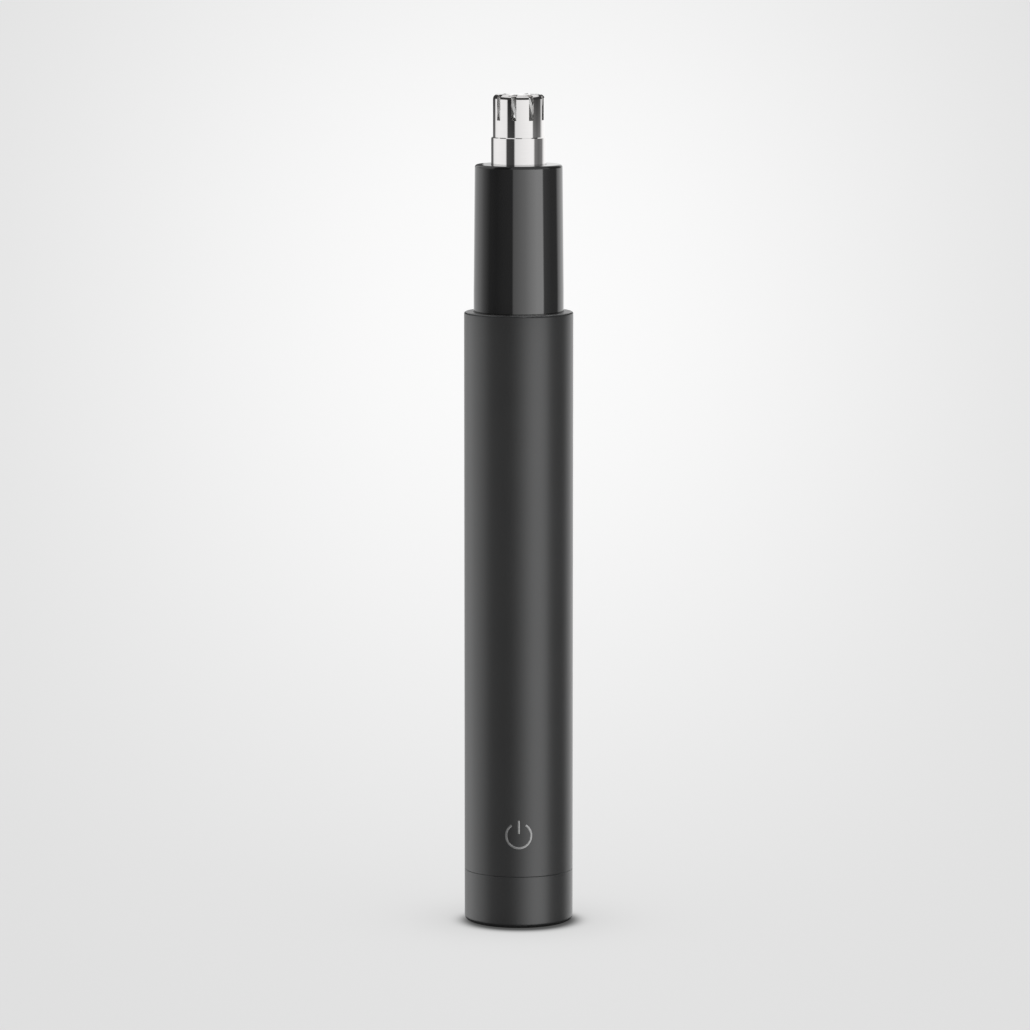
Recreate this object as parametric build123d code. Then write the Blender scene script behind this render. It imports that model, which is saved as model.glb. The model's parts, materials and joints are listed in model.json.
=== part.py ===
from build123d import *
import os
from math import atan, degrees

# Nose hair trimmer, in millimetres. It stands on its end cap: +Z runs up the long axis and the front is -Y.

# Outside shape
BODY_R = 8.4            # outer tube and end cap
CAP_TOP_Z = 8.08        # top of the end cap, at the seam
TUBE_BOTTOM_Z = 8.12    # bottom of the outer tube, at the seam
TUBE_TOP_Z = 94.9       # ledge that a protective cap closes against
NECK_BASE_R = 6.93
NECK_TIP_R = 6.74
NECK_LAND = 3.0         # true cylinder at the neck's base, above the ledge
NECK_WAIST_R = 6.7      # where the neck passes through the tube's lip
NECK_TOP_Z = 117.5
COLLAR_R = 4.235
COLLAR_TOP_Z = 121.7
FOIL_R = 3.96
HEAD_TOP_Z = 128.2

# Edges
CAP_FOOT_FILLET = 0.8
SEAM_CHAMFER = 0.04
RIM_FILLET = 0.35
NECK_TIP_FILLET = 0.45
FOIL_FILLET = 0.7

# Outer tube
TUBE_BORE_R = 7.4
TUBE_LIP = 0.95         # inward flange that keeps the neck in
TUBE_LIP_R = 6.98
RING_BORE_R = 7.85      # counterbore for the switch ring
RING_GROOVE_R = 8.03
RING_GROOVE_Z = (11.2, 12.0)

# Battery: one AA cell
CELL_R = 7.1
CELL_BASE_Z = 13.0
CELL_LENGTH = 49.5
CELL_NUB_R = 2.75
CELL_NUB = 1.0
CELL_FILLET = 0.4
CELL_CRIMP = (0.15, 0.5, 1.6)  # depth and width of the crimp, and how far it starts below the shoulder
CELL_TOP_Z = CELL_BASE_Z + CELL_LENGTH + CELL_NUB

# End cap, its insert and the switch ring
CAP_FLOOR = 1.3
CAP_DISH_R = 6.2
CAP_DISH = 0.3
CAP_REBATE_R = 7.85
CAP_REBATE_Z = 7.0
SPIGOT_R = 7.2
SPIGOT_BORE_R = 6.1
SPIGOT_TOP_Z = 12.5
INSERT_FLOOR_Z = 2.5
INSERT_FLANGE_Z = (7.0, 8.0)
RING_R = (7.3, 7.8)
RING_LIP_R = 7.98
RING_Z = (8.3, 11.9)
DOG_COUNT = 3
DOG_WIDTH = 1.8
DOG_TOP_Z = 10.0
DOG_CLEARANCE = 0.15
DOG_ROOT = 0.1          # how far a dog is sunk into the spigot's wall
CAP_SEAL_Z = 10.6
CONTACT_ARC = 60.0      # degrees of the switch ring that carry its contact
CONTACT_Z = (11.4, 11.85)
SHEET = 0.25            # thickness of the contact metal
STRIP = 2.0             # width of the contact metal
STRIP_ROOM = 0.1        # gap beside a strip in its slot
TOUCH = 0.02            # gap left where a spring or a contact presses on its neighbour
BATTERY_SPRING = (0.4, 4.6, 2.6, 5)  # radius of the wire, of the foot and of the tip, and turns

# Round seals: radius of the ring's centre line, radius of its section
CAP_SEAL = (6.95, 0.33)
NECK_SEAL = (7.07, 0.32)
HEAD_SEAL = (4.495, 0.24)
SEAL_SIDE = 0.04        # room beside a seal in its groove

# Chassis and motor
CHASSIS_R = 7.33
CHASSIS_NECK_R = 5.75
CHASSIS_Z = (66.4, 88.0, 103.0)
CHASSIS_CAVITY_R = 2.7
MOTOR_SEAT = 1.0        # width of the chassis's floor under the motor
SPLIT = 0.05            # half the gap between the chassis halves
MOTOR_R = 6.0
MOTOR_WALL = 0.5
MOTOR_Z = (67.2, 87.0)
MOTOR_BELL_TOP_Z = 68.55
BELL_PLUG = (0.6, 1.0)  # wall and height of the ring that plugs the bell into the can
BUSH_NOSE = 1.5         # length of the bush in the motor's nose
MOTOR_NOSE = (2.0, 1.0)
MOTOR_SHAFT_R = 0.5
MOTOR_SHAFT_Z = (66.9, 92.5)
MAGNET_Z = (72.0, 84.0)
MAGNET_R = (4.45, 5.48)
MAGNET_ARC = 130.0
CORE_R = 4.2
CORE_Z = (72.8, 82.8)
POLES = 3
FIRST_POLE = 90.0       # direction of a pole, and of a gap between poles, in degrees from +X
BETWEEN_POLES = 30.0
POLE_GAP = 0.9
POLE_RIM = 0.8          # thickness of a pole's face
POLE_LIMB = 1.6         # width of a pole's limb
CORE_HUB_R = 2.0
COIL_END = 0.9          # how far the windings stand out past the core
COIL_GAP = 0.05
COMMUTATOR_R = 1.4
COMMUTATOR_Z = (69.2, 71.4)
COMMUTATOR_SLIT = (0.3, 0.2)  # depth and width
COMMUTATOR_ROOM = 0.05  # gap between the commutator and the motor's fixed parts
TERMINAL_X = 3.7
TERMINAL_WIDTH = 1.8
TERMINAL = 0.3          # thickness of the motor's terminals
BRUSH = 0.15            # thickness of a brush's leaf
BRUSH_TAB_Z = 66.4
BRUSH_TOP_Z = 71.1
DAMPER_Z = (83.0, 85.5)
DAMPER_R = 6.5
FIT = 0.03              # gap at a close fit
GLUE = 0.01             # gap at a pressed or glued fit

# Battery contacts
PLATE_Z = (64.6, 66.0)
PLATE_R = 7.3

# Chassis screws
SCREW_X = 3.85
SCREW_Z = (93.5, 99.5)
SCREW_SHANK = (0.6, 4.7)
SCREW_HEAD = (1.1, 0.7)
SCREW_SEAT_Y = -2.1
SCREW_SLOT = 0.3

# Neck inside
NECK_SKIRT_R = 7.35
NECK_SKIRT_Z = 88.2
NECK_BORE_R = 5.85
NECK_DRAFT = 0.1        # how much the bore narrows towards its roof
HEAD_BORE_R = 4.3
HEAD_BORE_Z = 107.7
BOSS_R = 5.2
BOSS_Z = 104.5
NECK_ROOF_Z = 116.2
NECK_SEAL_Z = 91.1
BUSH_R = 1.9
BUSH_TOP_Z = 106.5
SEAL_CUP_R = 2.6
SEAL_LIP = (0.4, 0.2, 0.15)  # how far below the seal's top its lip starts, its edge ends and its slope ends
SEAL_THROAT = (0.5, 0.7)     # width of the lip's slope, and of the room under the lip
SEAL_WALL = 0.4
SEAL_WEB = (0.3, 0.5)        # heights of the seal's web above its foot

# Drive shaft and cutter
SHAFT_R = 0.75
SHAFT_Z = (93.0, 121.0)
SHAFT_FLAT = 0.5        # distance of the driving flat from the axis
SHAFT_FLAT_Z = 116.0
SHAFT_TIP_CHAMFER = 0.15
SHAFT_FLANGE_R = 1.7
SHAFT_FLANGE_Z = (112.4, 113.0)
RUNNING = 0.03          # radial running clearance
COUPLING_R = 2.2
COUPLING_Z = (89.2, 95.0)
COUPLING_CHAMFER = 0.3
CUTTER_SPRING = (0.15, 1.25, 1.25, 6)  # radius of the wire, of the foot and of the tip, and turns
HUB_Z = (117.6, 123.4)
HUB_R = 1.9
HUB_FLANGE_R = 2.6
HUB_FLANGE = 0.8
HUB_PEG = (1.2, 1.2)
HUB_BORE_TOP_Z = 121.75
BLADES = 8
BLADE_PHASE = 36.0      # direction of the first blade, in degrees from +X
BLADE_THICKNESS = 0.45
BLADE_TILT = 18.0
BLADE_ROOT_R = 1.3
CUTTER_R = 3.66
CUTTER_TOP_Z = 127.86
CUTTER_PLATE = (0.4, 0.5)  # how far the plate under the blades stands in from their tips, and its thickness

# Head
FOIL_WALL = 0.26
FOIL_ROOF = 0.3
FOIL_BASE_Z = 119.0
SLOTS = 9
SLOT_WIDTH = 0.78
SLOT_BASE_Z = 124.3
SLOT_ROOT_R = 1.9
SLOT_PHASE = -101.0     # direction of the first slot, in degrees from +X
COLLAR_BASE_Z = 108.0
COLLAR_BORE_R = 3.72
COLLAR_CHAMFER = 0.12
COLLAR_DETENT = 0.1     # shallow groove that the head's O-ring drops into
HEAD_SEAL_Z = 110.0

SAME = 1e-4             # two lengths closer than this are the same


def turned(*outline):
    """A solid turned about Z from (radius, height) corners."""
    corners = [(radius, 0, height) for radius, height in outline]
    return revolve(make_face(Polyline(*corners, close=True)), Axis.Z)


def tube(inner, outer, low, high):
    """A plain ring or tube about Z."""
    return turned((inner, low), (outer, low), (outer, high), (inner, high))


def rod(radius, low, high):
    """A plain cylinder about Z."""
    return Pos(0, 0, low) * Cylinder(radius, high - low, align=(Align.CENTER, Align.CENTER, Align.MIN))


def block(x, y, z):
    """A box given by its low and high limits on each axis."""
    size = [high - low for low, high in (x, y, z)]
    return Pos(x[0], y[0], z[0]) * Box(*size, align=(Align.MIN, Align.MIN, Align.MIN))


def rim(solid, radius, height):
    """The round edges of a solid at one radius and height."""
    rounds = solid.edges().filter_by(GeomType.CIRCLE)
    return [e for e in rounds if abs(e.radius - radius) < SAME and abs(e.arc_center.Z - height) < SAME]


def around(count, start=0.0):
    """Directions evenly spaced about Z, in degrees."""
    return [start + 360 * turn / count for turn in range(count)]


def wedge(arc, reach, low, high):
    """A sector of a cylinder about Z, centred on +X."""
    return Pos(0, 0, low) * Rot(0, 0, -arc / 2) * Cylinder(
        reach, high - low, arc_size=arc, align=(Align.NONE, Align.NONE, Align.MIN))


def o_ring(seal, height):
    """A round rubber ring."""
    return Pos(0, 0, height) * Torus(*seal)


def outside_groove(seal, height):
    """The groove that an O-ring needs round the outside of a wall."""
    half = seal[1] + SEAL_SIDE
    return tube(seal[0] - seal[1], BODY_R, height - half, height + half)


def inside_groove(seal, height):
    """The groove that an O-ring needs round the inside of a wall."""
    half = seal[1] + SEAL_SIDE
    return tube(seal[0] - 2 * seal[1], seal[0] + seal[1], height - half, height + half)


def coil_spring(low, high, wire, base_r, tip_r, turns):
    """A compression spring whose wire just reaches both heights."""
    height = high - low - 2 * wire
    cone = degrees(atan((tip_r - base_r) / height))
    path = Helix(height / turns, height, base_r, center=(0, 0, low + wire), cone_angle=cone)
    section = Plane(origin=path @ 0, z_dir=path % 0) * Circle(wire)
    return sweep(section, path=path, is_frenet=True)


# End cap: it turns with the switch ring and pulls off it

def end_cap():
    shell = turned((0, CAP_DISH), (CAP_DISH_R, CAP_DISH), (CAP_DISH_R + CAP_DISH, 0), (BODY_R, 0),
                   (BODY_R, CAP_TOP_Z), (CAP_REBATE_R, CAP_TOP_Z), (CAP_REBATE_R, CAP_REBATE_Z),
                   (TUBE_BORE_R, CAP_REBATE_Z), (TUBE_BORE_R, CAP_FLOOR), (0, CAP_FLOOR))
    shell = chamfer(rim(shell, BODY_R, CAP_TOP_Z), SEAM_CHAMFER)
    return fillet(rim(shell, BODY_R, 0), CAP_FOOT_FILLET)


def drive_dogs(width, inner, outer, low, high):
    """The blocks that lock the cap insert and the switch ring together in rotation."""
    ring = tube(inner, outer, low, high)
    return [ring & (Rot(0, 0, a) * block((0, outer + 1), (-width / 2, width / 2), (low, high)))
            for a in around(DOG_COUNT, 90)]


def cap_insert():
    low, high = INSERT_FLANGE_Z
    body = turned((0, CAP_FLOOR), (TUBE_BORE_R, CAP_FLOOR), (TUBE_BORE_R, low), (RING_R[1], low),
                  (RING_R[1], high), (SPIGOT_R, high), (SPIGOT_R, SPIGOT_TOP_Z),
                  (SPIGOT_BORE_R, SPIGOT_TOP_Z), (SPIGOT_BORE_R, INSERT_FLOOR_Z), (0, INSERT_FLOOR_Z))
    for dog in drive_dogs(DOG_WIDTH, SPIGOT_R - DOG_ROOT, RING_R[1], high, DOG_TOP_Z):
        body += dog
    body -= outside_groove(CAP_SEAL, CAP_SEAL_Z)
    half = STRIP / 2 + 2 * STRIP_ROOM
    return body - block((SPIGOT_BORE_R - 1, BODY_R), (-half, half), (CONTACT_Z[0], SPIGOT_TOP_Z))


def cap_contact():
    half = STRIP / 2
    outside = SPIGOT_BORE_R - STRIP_ROOM
    tip_z = (CONTACT_Z[0] + STRIP_ROOM, CONTACT_Z[0] + STRIP_ROOM + SHEET)
    plate = rod(outside, INSERT_FLOOR_Z, INSERT_FLOOR_Z + SHEET)
    leg = block((outside - SHEET, outside), (-half, half), (INSERT_FLOOR_Z, tip_z[1]))
    tip = block((outside - SHEET, SPIGOT_R), (-half, half), tip_z)
    leg_notch = tube(outside, BODY_R, INSERT_FLOOR_Z, tip_z[0])
    return plate + (leg - leg_notch) + (tip & rod(SPIGOT_R, *tip_z))


def battery_spring():
    return coil_spring(INSERT_FLOOR_Z + SHEET, CELL_BASE_Z - TOUCH, *BATTERY_SPRING)


def switch_ring():
    low, high = RING_Z
    lip = RING_LIP_R - RING_R[1]
    lip_z = RING_GROOVE_Z[0] + RUNNING
    ring = turned((RING_R[0], low), (RING_R[1], low), (RING_R[1], lip_z), (RING_LIP_R, lip_z + lip),
                  (RING_LIP_R, high), (RING_R[0], high))
    notch_top = DOG_TOP_Z + DOG_CLEARANCE
    for notch in drive_dogs(DOG_WIDTH + DOG_CLEARANCE, RING_R[0] - 1, BODY_R, low - 1, notch_top):
        ring -= notch
    return ring - Rot(0, 0, CONTACT_ARC) * wedge(CONTACT_ARC, BODY_R, CONTACT_Z[0], high)


def switch_contact():
    ring = tube(RING_R[0], RING_LIP_R, *CONTACT_Z)
    return ring & (Rot(0, 0, CONTACT_ARC) * wedge(CONTACT_ARC - 1, BODY_R, *CONTACT_Z))


def battery():
    shoulder = CELL_BASE_Z + CELL_LENGTH
    depth, width, below = CELL_CRIMP
    cell = rod(CELL_R, CELL_BASE_Z, shoulder)
    cell = fillet(rim(cell, CELL_R, CELL_BASE_Z) + rim(cell, CELL_R, shoulder), CELL_FILLET)
    cell -= tube(CELL_R - depth, CELL_R + 1, shoulder - below, shoulder - below + width)
    return cell + rod(CELL_NUB_R, shoulder, CELL_TOP_Z)


# Body: everything that the outer tube carries

def outer_tube():
    lip_z = TUBE_TOP_Z - TUBE_LIP
    groove_low, groove_high = RING_GROOVE_Z
    shell = turned((RING_BORE_R, TUBE_BOTTOM_Z), (BODY_R, TUBE_BOTTOM_Z), (BODY_R, TUBE_TOP_Z),
                   (TUBE_LIP_R, TUBE_TOP_Z), (TUBE_LIP_R, lip_z), (TUBE_BORE_R, lip_z),
                   (TUBE_BORE_R, groove_high), (RING_GROOVE_R, groove_high),
                   (RING_GROOVE_R, groove_low), (RING_BORE_R, groove_low))
    shell = chamfer(rim(shell, BODY_R, TUBE_BOTTOM_Z), SEAM_CHAMFER)
    return fillet(rim(shell, BODY_R, TUBE_TOP_Z), RIM_FILLET)


def neck_cover():
    step_z = TUBE_TOP_Z - TUBE_LIP
    shell = turned((NECK_SKIRT_R, NECK_SKIRT_Z), (NECK_SKIRT_R, step_z), (NECK_WAIST_R, step_z),
                   (NECK_WAIST_R, TUBE_TOP_Z), (NECK_BASE_R, TUBE_TOP_Z),
                   (NECK_BASE_R, TUBE_TOP_Z + NECK_LAND), (NECK_TIP_R, NECK_TOP_Z),
                   (HEAD_BORE_R, NECK_TOP_Z), (HEAD_BORE_R, HEAD_BORE_Z), (SEAL_CUP_R, HEAD_BORE_Z),
                   (SEAL_CUP_R, BUSH_TOP_Z), (BUSH_R, BUSH_TOP_Z), (BUSH_R, BOSS_Z), (BOSS_R, BOSS_Z),
                   (BOSS_R, NECK_ROOF_Z), (NECK_BORE_R - NECK_DRAFT, NECK_ROOF_Z), (NECK_BORE_R, BOSS_Z),
                   (NECK_BORE_R, NECK_SKIRT_Z))
    shell = fillet(rim(shell, NECK_TIP_R, NECK_TOP_Z), NECK_TIP_FILLET)
    return shell - outside_groove(NECK_SEAL, NECK_SEAL_Z) - inside_groove(HEAD_SEAL, HEAD_SEAL_Z)


def shaft_bush():
    return tube(SHAFT_R + RUNNING, BUSH_R - GLUE, BOSS_Z + FIT, BUSH_TOP_Z - FIT)


def shaft_seal():
    low, high = BUSH_TOP_Z, HEAD_BORE_Z
    outer = SEAL_CUP_R - GLUE
    lip = SHAFT_R + TOUCH
    start, edge, slope = SEAL_LIP
    throat = lip + SEAL_THROAT[1]
    return turned((lip, high - start), (lip, high - edge), (lip + SEAL_THROAT[0], high - slope),
                  (outer - SEAL_WALL, low + SEAL_WEB[1]), (outer - SEAL_WALL, high), (outer, high),
                  (outer, low), (throat, low), (throat, low + SEAL_WEB[0]))


def chassis():
    """Both halves of the inner frame as one, before it is split."""
    low, step, top = CHASSIS_Z
    bore = MOTOR_R + FIT
    roof = MOTOR_Z[1] + FIT
    seat = MOTOR_R - MOTOR_SEAT
    frame = turned((seat, low), (CHASSIS_R, low), (CHASSIS_R, step), (CHASSIS_NECK_R, step),
                   (CHASSIS_NECK_R, top), (CHASSIS_CAVITY_R, top), (CHASSIS_CAVITY_R, roof),
                   (bore, roof), (bore, MOTOR_Z[0]), (seat, MOTOR_Z[0]))
    frame -= tube(seat, DAMPER_R + FIT, *DAMPER_Z)
    for place in screw_places():
        frame -= place * screw(clearance=FIT)
    return frame


def chassis_front():
    return chassis() & block((-BODY_R, BODY_R), (-BODY_R, -SPLIT), (CHASSIS_Z[0], CHASSIS_Z[2]))


def chassis_rear():
    return chassis() & block((-BODY_R, BODY_R), (SPLIT, BODY_R), (CHASSIS_Z[0], CHASSIS_Z[2]))


def screw_places():
    """Where each chassis screw's head sits, with the screw's own +Z pointing out of the front."""
    return [Pos(x, SCREW_SEAT_Y, z) * Rot(90, 0, 0) for z in SCREW_Z for x in (-SCREW_X, SCREW_X)]


def screw(clearance=0.0):
    """A pan-head screw with its seat at the origin; with a clearance, the hole that takes it."""
    shank_r, length = SCREW_SHANK
    head_r, head = SCREW_HEAD
    shank = rod(shank_r + clearance, -length - clearance, 0)
    if clearance:
        return shank + rod(head_r + clearance, 0, CHASSIS_R)
    slot = block((-head_r, head_r), (-SCREW_SLOT / 2, SCREW_SLOT / 2), (head / 2, head))
    return shank + rod(head_r, 0, head) - slot - Rot(0, 0, 90) * slot


def chassis_screws():
    return Compound(children=[place * screw() for place in screw_places()])


def contact_plate():
    leg = TERMINAL_X - TERMINAL / 2
    half = STRIP / 2 + STRIP_ROOM
    slot = block((leg - SHEET - STRIP_ROOM, leg + STRIP_ROOM), (-half, half), PLATE_Z)
    return rod(PLATE_R, *PLATE_Z) - slot


def positive_contact():
    leg = TERMINAL_X - TERMINAL / 2
    half = STRIP / 2
    leaf_z = (CELL_TOP_Z + TOUCH, CELL_TOP_Z + TOUCH + SHEET)
    leaf = block((-leg, leg), (-half, half), leaf_z)
    post = block((leg - SHEET, leg), (-half, half), (leaf_z[0], MOTOR_Z[0] - STRIP_ROOM))
    return leaf + post


def negative_contact():
    leg = TERMINAL_X - TERMINAL / 2
    half = STRIP / 2
    arm_z = (PLATE_Z[1], PLATE_Z[1] + SHEET)
    arm = block((-BODY_R, SHEET - leg), (-half, half), arm_z) & rod(TUBE_BORE_R - TOUCH, *arm_z)
    post = block((-leg, SHEET - leg), (-half, half), (arm_z[0], MOTOR_Z[0] - STRIP_ROOM))
    return arm + post


def motor_can():
    nose_r, nose = MOTOR_NOSE
    inner = MOTOR_R - MOTOR_WALL
    top = MOTOR_Z[1]
    hole = COMMUTATOR_R + COMMUTATOR_ROOM
    return turned((inner, MOTOR_BELL_TOP_Z), (MOTOR_R, MOTOR_BELL_TOP_Z), (MOTOR_R, top), (nose_r, top),
                  (nose_r, top + nose), (hole, top + nose), (hole, top - MOTOR_WALL),
                  (inner, top - MOTOR_WALL))


def motor_end_bell():
    hole = COMMUTATOR_R + COMMUTATOR_ROOM
    outer = MOTOR_R - FIT
    plug_r = MOTOR_R - MOTOR_WALL - GLUE
    inner = plug_r - BELL_PLUG[0]
    low, high = MOTOR_Z[0], MOTOR_BELL_TOP_Z
    top = high + BELL_PLUG[1]
    bell = turned((hole, low), (outer, low), (outer, high), (plug_r, high), (plug_r, top),
                  (inner, top), (inner, high), (hole, high))
    thick = TERMINAL / 2 + FIT
    half = TERMINAL_WIDTH / 2 + FIT
    for side in (0, 180):
        bell -= Rot(0, 0, side) * block((TERMINAL_X - thick, TERMINAL_X + thick), (-half, half), (low, high))
    return bell


def motor_brushes():
    half = TERMINAL_WIDTH / 2
    thick = TERMINAL / 2
    inner = COMMUTATOR_R + FIT
    bridge_z = (MOTOR_BELL_TOP_Z + STRIP_ROOM, MOTOR_BELL_TOP_Z + STRIP_ROOM + SHEET)
    tab = block((TERMINAL_X - thick, TERMINAL_X + thick), (-half, half), (BRUSH_TAB_Z, bridge_z[1]))
    bridge = block((inner, TERMINAL_X), (-half, half), bridge_z)
    leaf = block((inner, inner + BRUSH), (-half, half), (bridge_z[0], BRUSH_TOP_Z))
    brush = tab + bridge + leaf
    return Compound(children=[brush, Rot(0, 0, 180) * brush])


def motor_magnets():
    ring = tube(*MAGNET_R, *MAGNET_Z)
    return Compound(children=[ring & (Rot(0, 0, side) * wedge(MAGNET_ARC, BODY_R, *MAGNET_Z))
                              for side in (90, -90)])


def motor_bushes():
    inner = MOTOR_SHAFT_R + RUNNING
    outer = COMMUTATOR_R + COMMUTATOR_ROOM - GLUE
    top = MOTOR_Z[1] + MOTOR_NOSE[1]
    return Compound(children=[tube(inner, outer, MOTOR_Z[0] + FIT, MOTOR_BELL_TOP_Z),
                              tube(inner, outer, top - BUSH_NOSE, top)])


def motor_damper():
    return tube(MOTOR_R + GLUE, DAMPER_R, DAMPER_Z[0] + FIT, DAMPER_Z[1] - FIT)


# Rotor: it turns in the motor and drives the cutter

def motor_shaft():
    return rod(MOTOR_SHAFT_R, *MOTOR_SHAFT_Z)


def commutator():
    ring = tube(MOTOR_SHAFT_R, COMMUTATOR_R, *COMMUTATOR_Z)
    depth, width = COMMUTATOR_SLIT
    slit = block((COMMUTATOR_R - depth, BODY_R), (-width / 2, width / 2), COMMUTATOR_Z)
    for direction in around(POLES, BETWEEN_POLES):
        ring -= Rot(0, 0, direction) * slit
    return ring


def limb(width, z):
    """A bar that reaches from inside the core's hub to the middle of a pole's face."""
    return block((CORE_HUB_R - 0.5, CORE_R - POLE_RIM / 2), (-width / 2, width / 2), z)


def armature_core():
    core = tube(MOTOR_SHAFT_R, CORE_R, *CORE_Z)
    gap = block((CORE_HUB_R, BODY_R), (-POLE_GAP / 2, POLE_GAP / 2), CORE_Z)
    for direction in around(POLES, BETWEEN_POLES):
        core -= Rot(0, 0, direction) * gap
    core -= tube(CORE_HUB_R, CORE_R - POLE_RIM, *CORE_Z)
    for direction in around(POLES, FIRST_POLE):
        core += Rot(0, 0, direction) * limb(POLE_LIMB, CORE_Z)
    return core


def armature_windings():
    low, high = CORE_Z
    outer = CORE_R - POLE_RIM - 2 * COIL_GAP
    coils = tube(COMMUTATOR_R, outer, low - COIL_END, high + COIL_END)
    coils -= tube(MOTOR_SHAFT_R, CORE_HUB_R + COIL_GAP, low, high)
    for direction in around(POLES, FIRST_POLE):
        coils -= Rot(0, 0, direction) * limb(POLE_LIMB + 2 * COIL_GAP, (low - GLUE, high + GLUE))
    return coils


def drive_coupling():
    low, high = COUPLING_Z
    body = rod(COUPLING_R, low, high)
    body = chamfer(rim(body, COUPLING_R, low) + rim(body, COUPLING_R, high), COUPLING_CHAMFER)
    return body - rod(MOTOR_SHAFT_R, low, MOTOR_SHAFT_Z[1]) - rod(SHAFT_R, SHAFT_Z[0], high)


def drive_shaft():
    low, high = SHAFT_Z
    shaft = rod(SHAFT_R, low, high) + rod(SHAFT_FLANGE_R, *SHAFT_FLANGE_Z)
    shaft = chamfer(rim(shaft, SHAFT_R, high), SHAFT_TIP_CHAMFER)
    return shaft - block((-1, 1), (SHAFT_FLAT, 1), (SHAFT_FLAT_Z, high))


def cutter_spring():
    return coil_spring(SHAFT_FLANGE_Z[1] + TOUCH, HUB_Z[0] - TOUCH, *CUTTER_SPRING)


# Cutter: it floats on the drive shaft's flat

def cutter_hub():
    low, high = HUB_Z
    peg_r, peg = HUB_PEG
    flange_z = high - HUB_FLANGE
    body = turned((0, low), (HUB_R, low), (HUB_R, flange_z), (HUB_FLANGE_R, flange_z), (HUB_FLANGE_R, high),
                  (peg_r, high), (peg_r, high + peg), (0, high + peg))
    bore = rod(SHAFT_R + RUNNING, low, HUB_BORE_TOP_Z)
    bore -= block((-1, 1), (SHAFT_FLAT + RUNNING, 1), (low, HUB_BORE_TOP_Z))
    return body - bore


def cutter_blades():
    low, high = HUB_Z[1], CUTTER_TOP_Z
    envelope = rod(CUTTER_R, low, high)
    envelope = fillet(rim(envelope, CUTTER_R, high), FOIL_FILLET - FOIL_WALL + TOUCH)
    blades = rod(CUTTER_R - CUTTER_PLATE[0], low, low + CUTTER_PLATE[1])
    side = BLADE_THICKNESS / 2
    blade = block((BLADE_ROOT_R, 2 * CUTTER_R), (-side, side), (low - high, high - low))
    blade = Pos(0, 0, (low + high) / 2) * Rot(BLADE_TILT, 0, 0) * blade
    for direction in around(BLADES, BLADE_PHASE):
        blades += Rot(0, 0, direction) * blade & envelope
    return blades - rod(HUB_PEG[0] + GLUE, low, high)


# Head: the slotted foil in its collar pulls out of the neck

def foil():
    inner = FOIL_R - FOIL_WALL
    roof_z = HEAD_TOP_Z - FOIL_ROOF
    cup = rod(FOIL_R, FOIL_BASE_Z, HEAD_TOP_Z)
    cup = fillet(rim(cup, FOIL_R, HEAD_TOP_Z), FOIL_FILLET)
    core = rod(inner, FOIL_BASE_Z, roof_z)
    core = fillet(rim(core, inner, roof_z), FOIL_FILLET - FOIL_WALL)
    cup -= core
    half = SLOT_WIDTH / 2
    slot = block((SLOT_ROOT_R, BODY_R), (-half, half), (SLOT_BASE_Z, HEAD_TOP_Z + 1))
    for direction in around(SLOTS, SLOT_PHASE):
        cup -= Rot(0, 0, direction) * slot
    return cup


def head_collar():
    seat_r = FOIL_R + GLUE
    collar = turned((COLLAR_BORE_R, COLLAR_BASE_Z), (COLLAR_R, COLLAR_BASE_Z), (COLLAR_R, COLLAR_TOP_Z),
                    (seat_r, COLLAR_TOP_Z), (seat_r, FOIL_BASE_Z), (COLLAR_BORE_R, FOIL_BASE_Z))
    ends = rim(collar, COLLAR_R, COLLAR_TOP_Z) + rim(collar, COLLAR_R, COLLAR_BASE_Z)
    collar = chamfer(ends, COLLAR_CHAMFER)
    half = HEAD_SEAL[1]
    return collar - tube(COLLAR_R - COLLAR_DETENT, COLLAR_R + 1, HEAD_SEAL_Z - half, HEAD_SEAL_Z + half)


def cap_o_ring():
    return o_ring(CAP_SEAL, CAP_SEAL_Z)


def neck_o_ring():
    return o_ring(NECK_SEAL, NECK_SEAL_Z)


def head_o_ring():
    return o_ring(HEAD_SEAL, HEAD_SEAL_Z)


PIECES = [
    end_cap, cap_insert, cap_contact, battery_spring, cap_o_ring,
    switch_ring, switch_contact, battery,
    outer_tube, neck_cover, neck_o_ring, shaft_bush, shaft_seal,
    chassis_front, chassis_rear, chassis_screws,
    contact_plate, positive_contact, negative_contact,
    motor_can, motor_end_bell, motor_brushes, motor_magnets, motor_bushes, motor_damper,
    motor_shaft, commutator, armature_core, armature_windings, drive_coupling, drive_shaft, cutter_spring,
    cutter_hub, cutter_blades,
    foil, head_collar, head_o_ring,
]

os.makedirs("parts", exist_ok=True)
for piece in PIECES:
    export_step(piece(), f"parts/{piece.__name__}.step")
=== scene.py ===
import json
from math import asin, cos, degrees, pi, radians, sin

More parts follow.
